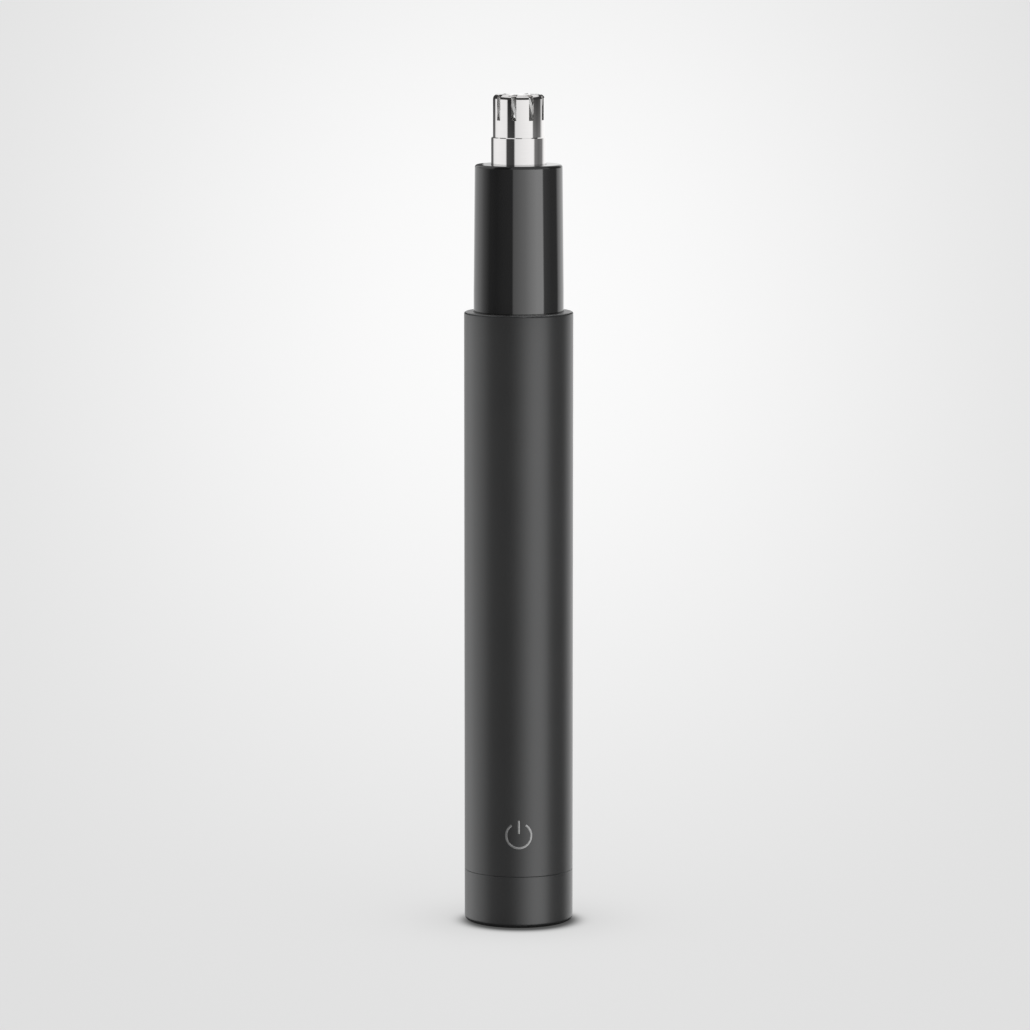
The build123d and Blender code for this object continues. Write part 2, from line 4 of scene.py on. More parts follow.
import bpy
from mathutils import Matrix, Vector


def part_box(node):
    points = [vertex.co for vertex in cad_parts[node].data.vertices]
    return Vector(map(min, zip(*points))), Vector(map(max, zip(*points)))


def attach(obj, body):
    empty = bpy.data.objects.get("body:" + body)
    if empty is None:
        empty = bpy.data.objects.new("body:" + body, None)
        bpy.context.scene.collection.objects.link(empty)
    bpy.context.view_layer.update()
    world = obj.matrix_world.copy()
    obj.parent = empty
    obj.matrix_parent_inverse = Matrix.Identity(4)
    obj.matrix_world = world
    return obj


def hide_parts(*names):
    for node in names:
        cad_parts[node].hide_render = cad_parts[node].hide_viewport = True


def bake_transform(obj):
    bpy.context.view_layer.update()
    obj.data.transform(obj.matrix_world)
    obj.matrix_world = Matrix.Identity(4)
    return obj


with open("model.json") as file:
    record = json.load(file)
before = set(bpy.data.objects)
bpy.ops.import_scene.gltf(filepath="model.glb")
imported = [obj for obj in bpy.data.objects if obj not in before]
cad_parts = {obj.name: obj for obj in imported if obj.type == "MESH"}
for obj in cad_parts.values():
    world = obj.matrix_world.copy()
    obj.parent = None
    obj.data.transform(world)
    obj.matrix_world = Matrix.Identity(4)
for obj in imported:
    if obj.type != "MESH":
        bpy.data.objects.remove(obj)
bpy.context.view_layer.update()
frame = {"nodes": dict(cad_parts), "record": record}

MM = 0.001
nodes = frame["nodes"]

# Places read from the frame, in metres
tube_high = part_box("outer_tube")[1]
cell_low, cell_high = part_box("battery")
BODY_R = tube_high.x
RIM_Z = tube_high.z
NECK_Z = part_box("neck_cover")[1].z
HEAD_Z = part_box("foil")[1].z

# Places on the object that the frame's boxes don't give
FOOT_R = 7.6 * MM
NECK_R = 6.8 * MM        # about half way up
HEAD_R = 4.1 * MM        # between the foil's radius and its collar's


# ---------------------------------------------------------------- shader helpers

def new_material(name, **sockets):
    """A Principled material with constants set straight on its sockets."""
    mat = bpy.data.materials.new(name)
    mat.use_nodes = True
    for socket, value in sockets.items():
        shader_of(mat).inputs[socket.replace("_", " ")].default_value = value
    return mat


def shader_of(mat):
    return mat.node_tree.nodes["Principled BSDF"]


def add(mat, kind, **settings):
    """A node in a material, with attributes and input values set by name."""
    node = mat.node_tree.nodes.new(kind)
    for key, value in settings.items():
        if hasattr(node, key):
            setattr(node, key, value)
        else:
            node.inputs[key.replace("_", " ")].default_value = value
    return node


def link(mat, source, target):
    mat.node_tree.links.new(source, target)


def maths(mat, operation, *values):
    """A Math node whose inputs are numbers or other nodes' outputs."""
    node = add(mat, "ShaderNodeMath", operation=operation)
    for socket, value in zip(node.inputs, values):
        if isinstance(value, (int, float)):
            socket.default_value = value
        else:
            link(mat, value, socket)
    return node.outputs["Value"]


def axes(mat):
    """Object coordinates, in metres, as separate X, Y and Z."""
    coord = add(mat, "ShaderNodeTexCoord")
    split = add(mat, "ShaderNodeSeparateXYZ")
    link(mat, coord.outputs["Object"], split.inputs["Vector"])
    return split.outputs["X"], split.outputs["Y"], split.outputs["Z"]


def noise(mat, scale, detail=2.0, stretch=(1, 1, 1)):
    """Noise in object coordinates, in cycles per metre, stretched along each axis."""
    coord = add(mat, "ShaderNodeTexCoord")
    mapping = add(mat, "ShaderNodeMapping", Scale=stretch)
    node = add(mat, "ShaderNodeTexNoise", Scale=scale, Detail=detail)
    link(mat, coord.outputs["Object"], mapping.inputs["Vector"])
    link(mat, mapping.outputs["Vector"], node.inputs["Vector"])
    return node.outputs["Fac"]


def spread(mat, value, low, high, start=0.3, stop=0.7):
    """A pattern's span from start to stop made to run from low to high."""
    node = add(mat, "ShaderNodeMapRange", clamp=True)
    for socket, number in zip(("From Min", "From Max", "To Min", "To Max"), (start, stop, low, high)):
        node.inputs[socket].default_value = number
    link(mat, value, node.inputs["Value"])
    return node.outputs["Result"]


def blend_colour(mat, value, dark, light):
    """A colour that runs between two colours, or two colour outputs, with a 0 to 1 value."""
    node = add(mat, "ShaderNodeMix", data_type="RGBA")
    link(mat, value, node.inputs["Factor"])
    for socket, colour in ((node.inputs[6], dark), (node.inputs[7], light)):
        if isinstance(colour, tuple):
            socket.default_value = (*colour, 1)
        else:
            link(mat, colour, socket)
    return node.outputs[2]


def tint(mat, value, dark, light):
    """Base colour that follows a pattern."""
    link(mat, blend_colour(mat, spread(mat, value, 0, 1), dark, light), shader_of(mat).inputs["Base Color"])


def roughen(mat, value, low, high):
    """Roughness that follows a pattern."""
    link(mat, spread(mat, value, low, high), shader_of(mat).inputs["Roughness"])


def bump(mat, height, distance):
    """Surface relief of a real depth, in metres."""
    node = add(mat, "ShaderNodeBump", Strength=1.0, Distance=distance)
    link(mat, height, node.inputs["Height"])
    link(mat, node.outputs["Normal"], shader_of(mat).inputs["Normal"])


# ---------------------------------------------------------------- materials

def anodised():
    """Bead-blasted, dark grey anodised aluminium."""
    mat = new_material("anodised_tube", Metallic=0.75)
    cloud = noise(mat, 90, 4)
    tint(mat, cloud, (0.078, 0.0785, 0.079), (0.082, 0.0825, 0.083))
    roughen(mat, cloud, 0.345, 0.365)
    bump(mat, noise(mat, 12000, 2), 0.0000012)
    return mat


def gloss_black():
    """Polished black plastic with a very faint moulding ripple."""
    mat = new_material("gloss_neck", IOR=1.5)
    ripple = noise(mat, 260, 2, (1, 1, 0.4))
    tint(mat, ripple, (0.0080, 0.0080, 0.0082), (0.0092, 0.0092, 0.0094))
    roughen(mat, noise(mat, 1500, 3), 0.03, 0.05)
    bump(mat, ripple, 0.0000004)
    return mat


def polished_steel():
    """Bright polished steel with hairline turning marks round the axis."""
    mat = new_material("polished_steel", Metallic=1.0)
    lines = noise(mat, 500, 4, (1, 1, 40))
    tint(mat, lines, (0.86, 0.845, 0.84), (0.90, 0.885, 0.88))
    roughen(mat, lines, 0.05, 0.08)
    bump(mat, lines, 0.0000002)
    return mat


def metal(name, dark, light, rough, stretch=(1, 1, 1), scale=4000, depth=0.0000006, metallic=1.0):
    """A plain metal whose grain may run along one axis."""
    mat = new_material(name, Metallic=metallic)
    grain = noise(mat, scale, 3, stretch)
    tint(mat, grain, dark, light)
    roughen(mat, grain, rough * 0.8, rough * 1.25)
    bump(mat, grain, depth)
    return mat


def plastic(name, dark, light, rough, scale=5000, depth=0.000003):
    """Moulded plastic or rubber with a fine spark texture."""
    mat = new_material(name, IOR=1.48)
    grain = noise(mat, scale, 2)
    tint(mat, noise(mat, 300, 2), dark, light)
    roughen(mat, grain, rough * 0.85, min(1.0, rough * 1.15))
    bump(mat, grain, depth)
    return mat


ROUND_AXIS = (0.05, 0.05, 1)    # grain that runs round a turned piece
ALONG_AXIS = (1, 1, 0.05)       # grain that runs along it

MATERIALS = {
    "anodised_tube": anodised(),
    "gloss_neck": gloss_black(),
    "polished_steel": polished_steel(),
    "cutter_steel": metal("cutter_steel", (0.70, 0.70, 0.69), (0.82, 0.815, 0.81), 0.42, ROUND_AXIS, 9000,
                          metallic=0.35),
    "shaft_steel": metal("shaft_steel", (0.48, 0.48, 0.49), (0.66, 0.66, 0.67), 0.25, ROUND_AXIS, 9000),
    "spring_steel": metal("spring_steel", (0.55, 0.55, 0.55), (0.72, 0.72, 0.71), 0.24),
    "black_rubber": plastic("black_rubber", (0.010, 0.010, 0.010), (0.016, 0.016, 0.016), 0.62),
    "grey_rubber": plastic("grey_rubber", (0.13, 0.13, 0.13), (0.17, 0.17, 0.17), 0.66),
    "chassis_plastic": plastic("chassis_plastic", (0.045, 0.045, 0.048), (0.058, 0.058, 0.062), 0.5),
    "white_plastic": plastic("white_plastic", (0.68, 0.68, 0.65), (0.76, 0.76, 0.73), 0.4),
    "insert_metal": metal("insert_metal", (0.56, 0.51, 0.38), (0.70, 0.65, 0.50), 0.22, ROUND_AXIS, 7000),
    "contact_metal": metal("contact_metal", (0.66, 0.60, 0.46), (0.80, 0.74, 0.58), 0.28),
    "brush_metal": metal("brush_metal", (0.55, 0.32, 0.14), (0.72, 0.44, 0.20), 0.3),
    "copper_wire": metal("copper_wire", (0.45, 0.16, 0.06), (0.70, 0.28, 0.11), 0.28, ROUND_AXIS, 9000,
                         0.00002),
    "bronze_bush": metal("bronze_bush", (0.34, 0.24, 0.12), (0.50, 0.36, 0.20), 0.5, depth=0.000004),
    "motor_steel": metal("motor_steel", (0.42, 0.42, 0.43), (0.58, 0.58, 0.60), 0.3, ALONG_AXIS),
    "magnet_ferrite": metal("magnet_ferrite", (0.03, 0.03, 0.03), (0.06, 0.06, 0.06), 0.6),
    "core_steel": metal("core_steel", (0.18, 0.18, 0.19), (0.32, 0.32, 0.33), 0.4, ROUND_AXIS, 9000, 0.00001),
    "screw_steel": metal("screw_steel", (0.40, 0.40, 0.40), (0.56, 0.56, 0.56), 0.32),
    "cell_jacket": plastic("cell_jacket", (0.02, 0.10, 0.055), (0.025, 0.12, 0.066), 0.22, depth=0.000001),
}

for part in frame["record"]["subparts"]:
    node = nodes[part["node"]]
    node.data.materials.clear()
    node.data.materials.append(MATERIALS[part["material_slot"]])


# ---------------------------------------------------------------- meshes

def mesh_object(name, verts, faces, mat):
    mesh = bpy.data.meshes.new(name)
    mesh.from_pydata(verts, [], faces)
    mesh.validate()
    mesh.update()
    mesh.shade_smooth()
    obj = bpy.data.objects.new(name, mesh)
    bpy.context.scene.collection.objects.link(obj)
    obj.data.materials.append(mat)
    return obj


def rings_of_faces(rows, count, closed=True):
    """Quads between rows of points, each row holding the same count of points."""
    faces = []
    for row in range(rows - 1):
        for turn in range(count if closed else count - 1):
            nxt = (turn + 1) % count
            faces.append((row * count + turn, row * count + nxt,
                          (row + 1) * count + nxt, (row + 1) * count + turn))
    return faces


def turned(name, outline, mat, segments=192):
    """A surface turned about Z from (radius, height) points, in metres."""
    verts = [(radius * cos(2 * pi * turn / segments), radius * sin(2 * pi * turn / segments), height)
             for radius, height in outline for turn in range(segments)]
    return mesh_object(name, verts, rings_of_faces(len(outline), segments), mat)


def arc(centre_r, centre_z, radius, start, stop, steps=6):
    """Outline points on a rounded corner, from one direction to another in degrees."""
    return [(centre_r + radius * cos(radians(start + (stop - start) * step / steps)),
             centre_z + radius * sin(radians(start + (stop - start) * step / steps)))
            for step in range(steps + 1)]


# ---------------------------------------------------------------- camera and floor

CAMERA_AT = Vector((-0.00057, -0.8402, 0.1671))
CAMERA_PITCH = 7.04      # degrees below the horizon
FOCAL = 191.6            # mm on a 36 mm wide sensor

BOWL_R = 1.8
BOWL_TOP = 0.7
SWEEP_R = 0.4            # radius of the curve between the floor and the wall
FLOOR_MIDDLE = 0.0001

# A painted pool of light in the floor's colour and glow, behind the object
POOL_SLOPE = 0.08        # how far below the horizon the pool of light lies, as a slope from the camera
POOL_WIDTH = 0.090
POOL_HEIGHT = 0.094
POOL_NEAREST = 0.05      # the pool's shape is held this near to the camera and nearer
FLOOR_DIM, FLOOR_BRIGHT = 0.725, 0.985
FLOOR_LIT = 0.25         # share of the floor's tone that takes light and shadow
FLOOR_GLOW = 0.785       # share that it gives out by itself
FIBRE = 0.012            # how much a paper's fibres vary its tone

# A painted contact shadow in the floor's colour and glow, round the foot
SHADE_X, SHADE_Y = 0.2 * MM, -1.1 * MM     # middle of the shade round the foot
CLOSE_SHADE, CLOSE_REACH = 0.76, 1.8 * MM
WIDE_SHADE, WIDE_REACH = 0.15, 12.5 * MM


def camera():
    data = bpy.data.cameras.new("camera")
    data.lens = FOCAL
    data.sensor_width = 36
    data.clip_start = 0.05
    data.clip_end = 20
    eye = bpy.data.objects.new("camera", data)
    eye.location = CAMERA_AT
    eye.rotation_euler = (radians(90 - CAMERA_PITCH), 0, 0)
    bpy.context.scene.collection.objects.link(eye)
    bpy.context.scene.camera = eye


def fall_off(mat, across, down=0.0):
    """A soft round spot: 1 in the middle, fading as a bell curve of two distances."""
    squares = maths(mat, "ADD", maths(mat, "MULTIPLY", across, across), maths(mat, "MULTIPLY", down, down))
    return maths(mat, "EXPONENT", maths(mat, "MULTIPLY", squares, -1.0))


def foot_shade(mat, x, y):
    """The painted contact shadow round the foot: how much darker the floor is painted there, as a close dark
    rim and a wide soft one.
    """
    x = maths(mat, "SUBTRACT", x, SHADE_X)
    y = maths(mat, "SUBTRACT", y, SHADE_Y)
    reach = maths(mat, "SQRT", maths(mat, "ADD", maths(mat, "MULTIPLY", x, x), maths(mat, "MULTIPLY", y, y)))
    gap = maths(mat, "MAXIMUM", maths(mat, "SUBTRACT", reach, FOOT_R), 0.0)
    close = maths(mat, "MULTIPLY", fall_off(mat, maths(mat, "DIVIDE", gap, CLOSE_REACH)), CLOSE_SHADE)
    wide = maths(mat, "MULTIPLY", fall_off(mat, maths(mat, "DIVIDE", reach, WIDE_REACH)), WIDE_SHADE)
    return maths(mat, "ADD", close, wide)


def light_pool(mat, x, y, z):
    """The painted pool of light behind the object, 1 in its middle."""
    away = maths(mat, "MAXIMUM", maths(mat, "SUBTRACT", y, CAMERA_AT.y), POOL_NEAREST)
    across = maths(mat, "DIVIDE", maths(mat, "DIVIDE", x, away), POOL_WIDTH)
    down = maths(mat, "DIVIDE", maths(mat, "SUBTRACT", z, CAMERA_AT.z), away)
    down = maths(mat, "DIVIDE", maths(mat, "ADD", down, POOL_SLOPE), POOL_HEIGHT)
    return fall_off(mat, across, down)


def pale_floor():
    """Matt pale grey that glows by itself, with a painted pool of light behind the object and a painted soft
    contact shadow round its foot.
    """
    mat = new_material("pale_floor", Roughness=0.95, Specular_IOR_Level=0.0, Emission_Strength=FLOOR_GLOW)
    x, y, z = axes(mat)
    tone = maths(mat, "MULTIPLY_ADD", light_pool(mat, x, y, z), FLOOR_BRIGHT - FLOOR_DIM, FLOOR_DIM)
    # painted contact shadow round the foot, in both the colour and the glow
    tone = maths(mat, "MULTIPLY", tone, maths(mat, "SUBTRACT", 1.0, foot_shade(mat, x, y)))
    fibre = maths(mat, "MULTIPLY_ADD", noise(mat, 2500, 3), FIBRE, 1 - FIBRE / 2)
    tone = maths(mat, "MULTIPLY", tone, fibre)
    grey = add(mat, "ShaderNodeCombineColor")
    for socket in grey.inputs[:3]:
        link(mat, tone, socket)
    shade = add(mat, "ShaderNodeMix", data_type="RGBA", Factor=FLOOR_LIT)
    shade.inputs[6].default_value = (0, 0, 0, 1)
    link(mat, grey.outputs["Color"], shade.inputs[7])
    link(mat, shade.outputs[2], shader_of(mat).inputs["Base Color"])
    link(mat, grey.outputs["Color"], shader_of(mat).inputs["Emission Color"])
    return mat


def floor_bowl():
    """A plain floor that sweeps up into a low round wall."""
    flat = BOWL_R - SWEEP_R
    rings = [(FLOOR_MIDDLE, 0.0)] + [(flat * (step / 12) ** 2, 0.0) for step in range(2, 12)]
    rings += arc(flat, SWEEP_R, SWEEP_R, -90, 0, 18)
    floor = turned("floor", rings + [(BOWL_R, BOWL_TOP)], pale_floor(), 128)
    floor.visible_glossy = False


# ---------------------------------------------------------------- light tents

# The tents are glowing panels seen only in reflections: they paint each piece's reflected highlights and dark
# bands.
# What each part of the object reflects: bearing on its surface in degrees (0 faces the camera, + is its
# right) and the brightness of the panel seen there. Two bearings close together are a panel's edge.
BODY_PANELS = [(-90, 0.75), (-78, 0.75), (-70, 0.8), (-64, 1.35), (-56, 1.35), (-40, 0.8), (-35, 0.45),
               (-32, 0.2), (-8, 0.10), (2, 0.5), (8, 1.0), (16, 1.55), (24, 1.6), (31, 1.3), (34, 0.35),
               (40, 0.25), (56, 0.15), (62, 0.85), (70, 1.15), (80, 1.3), (90, 1.3)]
NECK_PANELS = [(-90, 0.85), (-73, 0.92), (-65, 1.18), (-57, 1.19), (-50, 0.78), (-40, 0.21), (-30, 0.15),
               (-20, 0.24), (-8.4, 0.3), (-6.6, 1.55), (0, 2.0), (8, 2.6), (16, 3.6), (24, 4.4), (32, 4.4),
               (34, 0.75), (40, 0.5), (46, 0.33), (57, 0.22), (61.5, 1.2), (68, 1.37), (80, 1.08), (90, 0.95)]
HEAD_PANELS = [(-90, 0.75), (-84, 0.75), (-82, 0.1), (-68, 0.12), (-62, 0.9), (-50, 0.95), (-28, 0.9),
               (-25, 0.06), (-10, 0.045), (-7, 0.8), (5, 0.88), (25, 0.97), (32, 0.95), (35, 0.2), (45, 0.13),
               (56, 0.2), (61, 0.75), (66, 1.05), (90, 1.05)]

# How the neck's panels are scaled behind it, by the share of the way from the middle of the back
BACK_STRIP = [(0, 3.0), (0.25, 2.6), (0.32, 0.3), (0.7, 0.3), (0.95, 1), (1, 1)]
EVEN_BACK = [(0, 1), (1, 1)]

DARK, LIGHT = 0.04, 0.8  # what is seen above and below the panels
TENT_STEP = 0.5          # degrees of bearing between a tent's columns
BACK_FROM = 150          # degrees from the front where a tent's back starts
DEEP_BELOW = 0.3         # in a deeper row, panels no brighter than this are a third as bright
MIDDLE = 0.1 * MM        # radius of the small hole where a tent's roof or floor closes


def tone_at(panels, place):
    """The brightness at a place in a list of (place, brightness), straight between its points."""
    for (a, low), (b, high) in zip(panels, panels[1:]):
        if a <= place <= b:
            return low + (high - low) * (place - a) / (b - a)
    return panels[-1][1]


def tent_glow():
    """A material that glows with the tone stored on the tent's points."""
    mat = bpy.data.materials.new("tent_glow")
    mat.use_nodes = True
    mat.node_tree.nodes.clear()
    glow = add(mat, "ShaderNodeEmission")
    out = add(mat, "ShaderNodeOutputMaterial")
    tone = add(mat, "ShaderNodeVertexColor", layer_name="tone")
    link(mat, tone.outputs["Color"], glow.inputs["Color"])
    link(mat, glow.outputs["Emission"], out.inputs["Surface"])
    mat.cycles.emission_sampling = "NONE"
    return mat


def tent_columns(radius, around_r, panels, behind):
    """Direction from the axis and panel tone of each column of a tent.

    A bearing on the piece mirrors what stands in one direction on the tent, so the columns follow the
    bearings from -90 to 90 degrees. What is left of the circle is the back, from one side to the other.
    """
    columns = []
    for step in range(int(180 / TENT_STEP) + 1):
        bearing = -90 + step * TENT_STEP
        seen = 2 * bearing - degrees(asin(sin(radians(bearing)) * around_r / radius))
        columns.append((seen, tone_at(panels, bearing)))
    first, (edge, last) = columns[0][1], columns[-1]
    gap = 360 - 2 * edge
    back = max(int(gap / TENT_STEP), 4)
    for step in range(1, back):
        share = step / back
        tone = (last + (first - last) * share) * tone_at(behind, abs(2 * share - 1))
        columns.append((edge + gap * share, tone))
    return columns


def row_tone(shown, direction, panel):
    """The tone of one point of a tent's row: what the row shows, at its column."""
    if shown == "panels":
        return panel
    if shown == "deep":
        return panel if panel > DEEP_BELOW else panel / 3
    if isinstance(shown, tuple):
        return shown[abs(direction) > BACK_FROM]
    return shown


def light_tent(name, radius, around_r, panels, rows, glow, behind=EVEN_BACK):
    """A round tent of soft panels about a piece of radius around_r, seen only in reflections.

    Each row is a radius, a height and what shows there: the panels, the panels with deeper darks, a
    plain tone, or a pair of tones for the front and for the back. `behind` scales the tones behind
    the piece, outwards from the middle of its back.
    """
    columns = tent_columns(radius, around_r, panels, behind)
    verts, tones = [], []
    for row_r, height, shown in rows:
        for direction, panel in columns:
            verts.append((row_r * sin(radians(direction)), -row_r * cos(radians(direction)), height))
            tones.append(row_tone(shown, direction, panel))
    tent = mesh_object(name, verts, rings_of_faces(len(rows), len(columns)), glow)
    colour = tent.data.color_attributes.new("tone", "FLOAT_COLOR", "POINT")
    for point, tone in zip(colour.data, tones):
        point.color = (tone, tone, tone, 1)
    for kind in ("camera", "diffuse", "transmission", "volume_scatter", "shadow"):
        setattr(tent, "visible_" + kind, False)
    return tent


def body_tents(glow):
    """One tent round everything, a dark disc under the floor and a dark brim above the tube's rim; the disc
    and the brim paint shade into the reflections of the foot and of the tube's top.
    """
    wide, low, high, top = 50 * MM, -120 * MM, 210 * MM, 235 * MM
    light_tent("tent", wide, BODY_R, BODY_PANELS, [
        (MIDDLE, low, DARK), (wide, low, DARK), (wide, low, "panels"), (wide, high, "panels"),
        (wide, high, DARK), (wide, top, DARK), (MIDDLE, top, DARK)], glow)
    # The dark disc is a painted shadow: the foot's lower edge reflects it in place of the shade under the
    # foot.
    disc_r, under = 9.6 * MM, -0.2 * MM
    light_tent("floor_shade", disc_r, BODY_R, BODY_PANELS,
               [(MIDDLE, under, DARK), (disc_r, under, DARK)], glow)
    # The dark brim is painted shade: the tube's top and rim reflect it.
    inner, outer, brim = 9.2 * MM, 20 * MM, RIM_Z + 1.2 * MM
    shade = light_tent("rim_shade", outer, BODY_R, BODY_PANELS,
                       [(inner, brim, DARK), (outer, brim, DARK)], glow)
    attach(shade, "body")


def neck_tent(glow):
    """A close tent for the neck, from the tube's rim to a little above the neck."""
    close, inner = 8.25 * MM, 7.7 * MM
    low, top = RIM_Z - 0.05 * MM, NECK_Z + 1.7 * MM
    neck = light_tent("neck_tent", close, NECK_R, NECK_PANELS, [
        (close, low, "panels"), (close, top, "panels"), (close, top, DARK), (inner, top, DARK)],
        glow, BACK_STRIP)
    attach(neck, "body")


def head_tent(glow):
    """A close tent for the head, dark in front above the foil's edge, with a dark ring in its light roof."""
    close, ring_out, ring_in = 7.5 * MM, 5.5 * MM, 4.6 * MM
    low, collar = NECK_Z - 0.4 * MM, NECK_Z + 4.5 * MM
    edge, eaves, top = HEAD_Z - 0.4 * MM, HEAD_Z + 4.2 * MM, HEAD_Z + 10.5 * MM
    front_dark = (DARK, 1.0)
    head = light_tent("head_tent", close, HEAD_R, HEAD_PANELS, [
        (close, low, "panels"), (close, collar, "panels"), (close, edge, "deep"),
        (close, edge, front_dark), (close, eaves, front_dark), (close, eaves, LIGHT), (close, top, LIGHT),
        (ring_out, top, LIGHT), (ring_out, top, DARK), (ring_in, top, DARK), (ring_in, top, LIGHT),
        (MIDDLE, top, LIGHT)], glow)
    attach(head, "head")


def light_tents():
    """The tents of the neck and the head are close round them and move with them."""
    glow = tent_glow()
    body_tents(glow)
    neck_tent(glow)
    head_tent(glow)


def studio_light():
    """Even light from all round, and one soft box overhead that the gloss doesn't see."""
    data = bpy.data.lights.new("overhead_soft", "AREA")
    data.shape = "RECTANGLE"
    data.size, data.size_y = 0.6, 0.6
    data.energy = 1.0
    light = bpy.data.objects.new("overhead_soft", data)
    light.location = (0.1, -0.25, 0.75)
    light.rotation_mode = "QUATERNION"
    light.rotation_quaternion = (Vector((0, 0, 0.08)) - light.location).to_track_quat("-Z", "Y")
    light.visible_camera = False
    light.visible_glossy = False
    bpy.context.scene.collection.objects.link(light)
    world = bpy.data.worlds.new("studio")
    world.use_nodes = True
    world.node_tree.nodes["Background"].inputs["Color"].default_value = (1, 1, 1, 1)
    world.node_tree.nodes["Background"].inputs["Strength"].default_value = 0.8
    bpy.context.scene.world = world


# ---------------------------------------------------------------- mark on the tube

MARK_Z = 14.6 * MM
MARK_R = 1.95 * MM       # a plain on/off symbol: a broken ring and a bar
MARK_STROKE = 0.36 * MM
MARK_GAP = 34            # degrees on each side of the bar where the ring is broken
MARK_BAR = (0.15, 1.2)   # the bar's ends above the middle, as shares of the ring's radius
MARK_PROUD = 0.006 * MM
MARK_SUNK = 0.02 * MM
MARK_FLAT = 0.8          # share of the stroke's width that is flat, between its sloping edges


def wrapped(across, up, out):
    """A point on the tube's front: across and up from the mark's middle, out from the surface."""
    turn = across / BODY_R
    reach = BODY_R + out
    return reach * sin(turn), -reach * cos(turn), MARK_Z + up


def inlay(name, path, mat):
    """A thin stroke let into the tube along a path of (across, up) points."""
    half = MARK_STROKE / 2
    section = ((-1, -MARK_SUNK), (-MARK_FLAT, MARK_PROUD), (MARK_FLAT, MARK_PROUD), (1, -MARK_SUNK))
    verts = []
    for at, point in enumerate(path):
        before, after = path[max(at - 1, 0)], path[min(at + 1, len(path) - 1)]
        run = Vector((after[0] - before[0], after[1] - before[1])).normalized()
        side = Vector((-run.y, run.x))
        for share, height in section:
            spot = Vector(point) + side * half * share
            verts.append(wrapped(spot.x, spot.y, height))
    return mesh_object(name, verts, rings_of_faces(len(path), len(section), closed=False), mat)


def on_off_mark():
    mat = metal("mark_silver", (0.36, 0.36, 0.36), (0.43, 0.43, 0.43), 0.5, scale=9000)
    ring = arc(0, 0, MARK_R, 90 + MARK_GAP, 450 - MARK_GAP, 72)
    low, high = MARK_BAR
    bar = [(0, MARK_R * (low + (high - low) * step / 12)) for step in range(13)]
    for name, path in (("mark_ring", ring), ("mark_bar", bar)):
        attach(inlay(name, path, mat), "body")


# ---------------------------------------------------------------- springs

COIL_SIDES = 14          # points round the wire
COIL_STEPS = 64          # points along one turn
COIL_CLOSED = 0.8        # turns at each end that lie almost flat
COIL_FLAT = 0.05         # share of the height that each of those rises
COIL_TIP = 0.35          # the wire's ends taper to this share of its radius


def coil(name, mat, wire, low, high, base_r, tip_r, turns):
    """A wound spring with a closed coil at each end, all sizes in metres; `wire` is the wire's radius."""
    steps = int(turns * COIL_STEPS)
    verts = []
    for step in range(steps + 1):
        turn = turns * step / steps
        from_top = turn - turns + COIL_CLOSED
        rise = min(max((turn - COIL_CLOSED) / (turns - 2 * COIL_CLOSED), 0), 1) * (1 - 2 * COIL_FLAT)
        rise += COIL_FLAT * (min(turn / COIL_CLOSED, 1) + max(0, from_top / COIL_CLOSED))
        radius = base_r + (tip_r - base_r) * turn / turns
        height = low + wire + (high - low - 2 * wire) * rise
        thick = wire * (COIL_TIP if step in (0, steps) else 1)
        a = 2 * pi * turn
        for side in range(COIL_SIDES):
            b = 2 * pi * side / COIL_SIDES
            reach = radius + thick * cos(b)
            verts.append((reach * cos(a), reach * sin(a), height + thick * sin(b)))
    faces = rings_of_faces(steps + 1, COIL_SIDES)
    faces.append(tuple(reversed(range(COIL_SIDES))))
    faces.append(tuple(range(steps * COIL_SIDES, (steps + 1) * COIL_SIDES)))
    return mesh_object(name, verts, faces, mat)


def spring(name, node, wire, base_r, tip_r, turns):
    """A coil in place of a plain spring node, wound between the ends of its box."""
    low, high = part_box(node)
    wound = coil(name, MATERIALS["spring_steel"], wire, low.z, high.z, base_r, tip_r, turns)
    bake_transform(wound)
    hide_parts(node)


def springs():
    spring("battery_coil", "battery_spring", 0.4 * MM, 4.6 * MM, 2.6 * MM, 6)
    spring("cutter_coil", "cutter_spring", 0.15 * MM, 1.25 * MM, 1.25 * MM, 8)


# ---------------------------------------------------------------- battery cell

CELL_R = cell_high.x
SHOULDER_Z = cell_high.z - 1.0 * MM
CELL_FOLD = 0.4 * MM     # radius where the can and its jacket turn over each end
JACKET_WALL = 0.06 * MM
JACKET_PROUD = 0.02 * MM    # how far its folded edges stand off the can's ends
CRIMP_Z = SHOULDER_Z - 1.35 * MM
CRIMP_HALF = 0.5 * MM
BUTTON_R = 2.75 * MM
BUTTON_EDGE = 0.25 * MM

BAND_Z = cell_high.z - 14.5 * MM      # where the silver band at the positive end starts
TOP_LINE = (cell_high.z - 15.9 * MM, 0.3 * MM)    # height and half width of the thin silver lines
FOOT_LINE = (cell_low.z + 5.0 * MM, 0.25 * MM)
PLUS_Z = cell_high.z - 10 * MM
PLUS_REACH, PLUS_STROKE = 1.5 * MM, 0.35 * MM     # half of its length and half of a bar's width


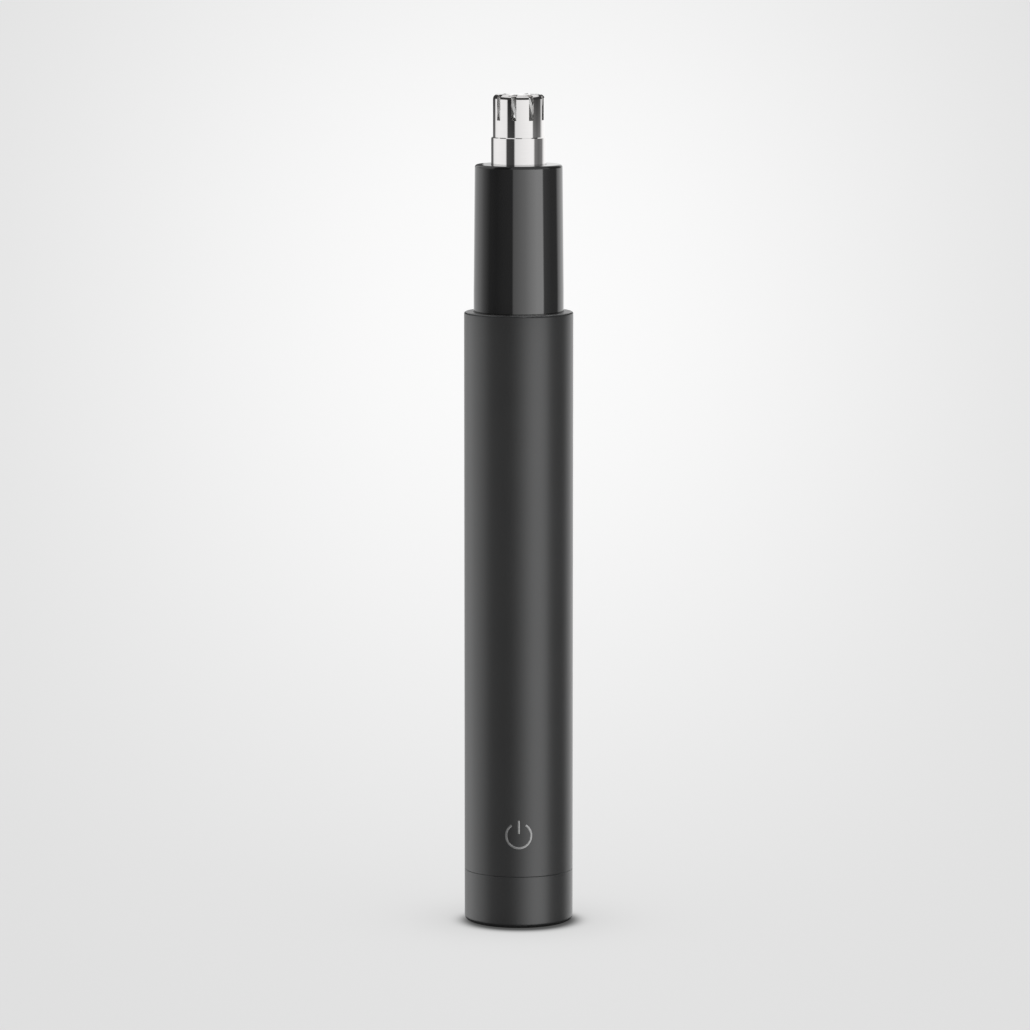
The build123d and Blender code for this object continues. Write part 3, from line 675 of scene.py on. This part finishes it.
def printed_film():
    """Jacket film: a plain green with a silver band at the positive end and two thin lines."""
    mat = new_material("printed_film", Metallic=0.35, IOR=1.5)
    z = axes(mat)[2]
    band = maths(mat, "GREATER_THAN", z, BAND_Z)
    lines = maths(mat, "MAXIMUM", maths(mat, "COMPARE", z, *TOP_LINE), maths(mat, "COMPARE", z, *FOOT_LINE))
    silvered = maths(mat, "MAXIMUM", band, lines)
    cloud = noise(mat, 700, 2)
    green = blend_colour(mat, spread(mat, cloud, 0, 1), (0.012, 0.075, 0.042), (0.016, 0.092, 0.052))
    silver = blend_colour(mat, spread(mat, cloud, 0, 1), (0.56, 0.57, 0.58), (0.64, 0.65, 0.66))
    link(mat, blend_colour(mat, silvered, green, silver), shader_of(mat).inputs["Base Color"])
    roughen(mat, noise(mat, 2200, 3), 0.2, 0.28)
    bump(mat, noise(mat, 900, 2), 0.0000015)
    return mat


def can_outline():
    """The plated can from the middle of its foot, over the shoulder and its groove, to the button."""
    dish_in, dish_out, dish = 4.4 * MM, 4.6 * MM, 0.12 * MM
    groove_out, groove_floor, groove_in, groove = 6.0 * MM, 5.6 * MM, 3.3 * MM, 0.25 * MM
    middle, low, inner = 0.01 * MM, cell_low.z, CELL_R - JACKET_WALL
    can = [(middle, low + dish), (dish_in, low + dish), (dish_out, low)]
    can += arc(inner - CELL_FOLD, low + CELL_FOLD, CELL_FOLD, -90, 0)
    can += arc(inner - CELL_FOLD, SHOULDER_Z - CELL_FOLD, CELL_FOLD, 0, 90)
    can += [(groove_out, SHOULDER_Z), (groove_floor, SHOULDER_Z - groove), (groove_in, SHOULDER_Z - groove)]
    can += [(BUTTON_R, SHOULDER_Z)]
    can += arc(BUTTON_R - BUTTON_EDGE, cell_high.z - BUTTON_EDGE, BUTTON_EDGE, 0, 90)
    return can + [(middle, cell_high.z)]


def jacket_outline():
    """The film from its fold under the foot, over the crimp, to its fold on the shoulder."""
    foot_edge, top_edge = CELL_R - 0.9 * MM, CELL_R - 1.3 * MM
    side, crimp_end = CELL_R - CELL_FOLD, CRIMP_HALF + 0.1 * MM
    jacket = [(foot_edge, cell_low.z + JACKET_PROUD)]
    jacket += arc(side, cell_low.z + CELL_FOLD, CELL_FOLD, -90, 0)
    jacket += [(CELL_R, CRIMP_Z - crimp_end)]
    for step in range(-4, 5):
        depth = JACKET_WALL * (1 + cos(radians(45 * step))) / 2
        jacket.append((CELL_R - depth, CRIMP_Z + CRIMP_HALF * step / 4))
    jacket += [(CELL_R, CRIMP_Z + crimp_end)]
    jacket += arc(side, SHOULDER_Z - CELL_FOLD + JACKET_PROUD, CELL_FOLD, 0, 90)
    return jacket + [(top_edge, SHOULDER_Z + JACKET_PROUD)]


def plus_sign():
    """A printed plus on the band at the positive end."""
    ink = plastic("cell_ink", (0.015, 0.015, 0.016), (0.025, 0.025, 0.026), 0.35)
    columns = 12
    verts, faces = [], []
    for wide, tall, proud in ((PLUS_REACH, PLUS_STROKE, 0.008 * MM), (PLUS_STROKE, PLUS_REACH, 0.010 * MM)):
        first, reach = len(verts), CELL_R + proud
        for column in range(columns + 1):
            turn = wide * (2 * column / columns - 1) / CELL_R
            for up in (-tall, tall):
                verts.append((reach * sin(turn), -reach * cos(turn), PLUS_Z + up))
        faces += [(first + 2 * c, first + 2 * c + 2, first + 2 * c + 3, first + 2 * c + 1)
                  for c in range(columns)]
    return mesh_object("cell_plus", verts, faces, ink)


def cell():
    """One round cell: plated can with its crimp and button, and a printed jacket folded over both edges."""
    steel = metal("cell_steel", (0.58, 0.57, 0.55), (0.70, 0.69, 0.66), 0.25, ROUND_AXIS, 6000)
    film = turned("cell_film", jacket_outline(), printed_film())
    for piece in (turned("cell_can", can_outline(), steel), film):
        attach(piece, "cell")
    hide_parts("battery")
    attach(plus_sign(), "cell")


floor_bowl()
light_tents()
studio_light()
camera()
on_off_mark()
springs()
cell()
bpy.context.scene.view_settings.view_transform = "Standard"
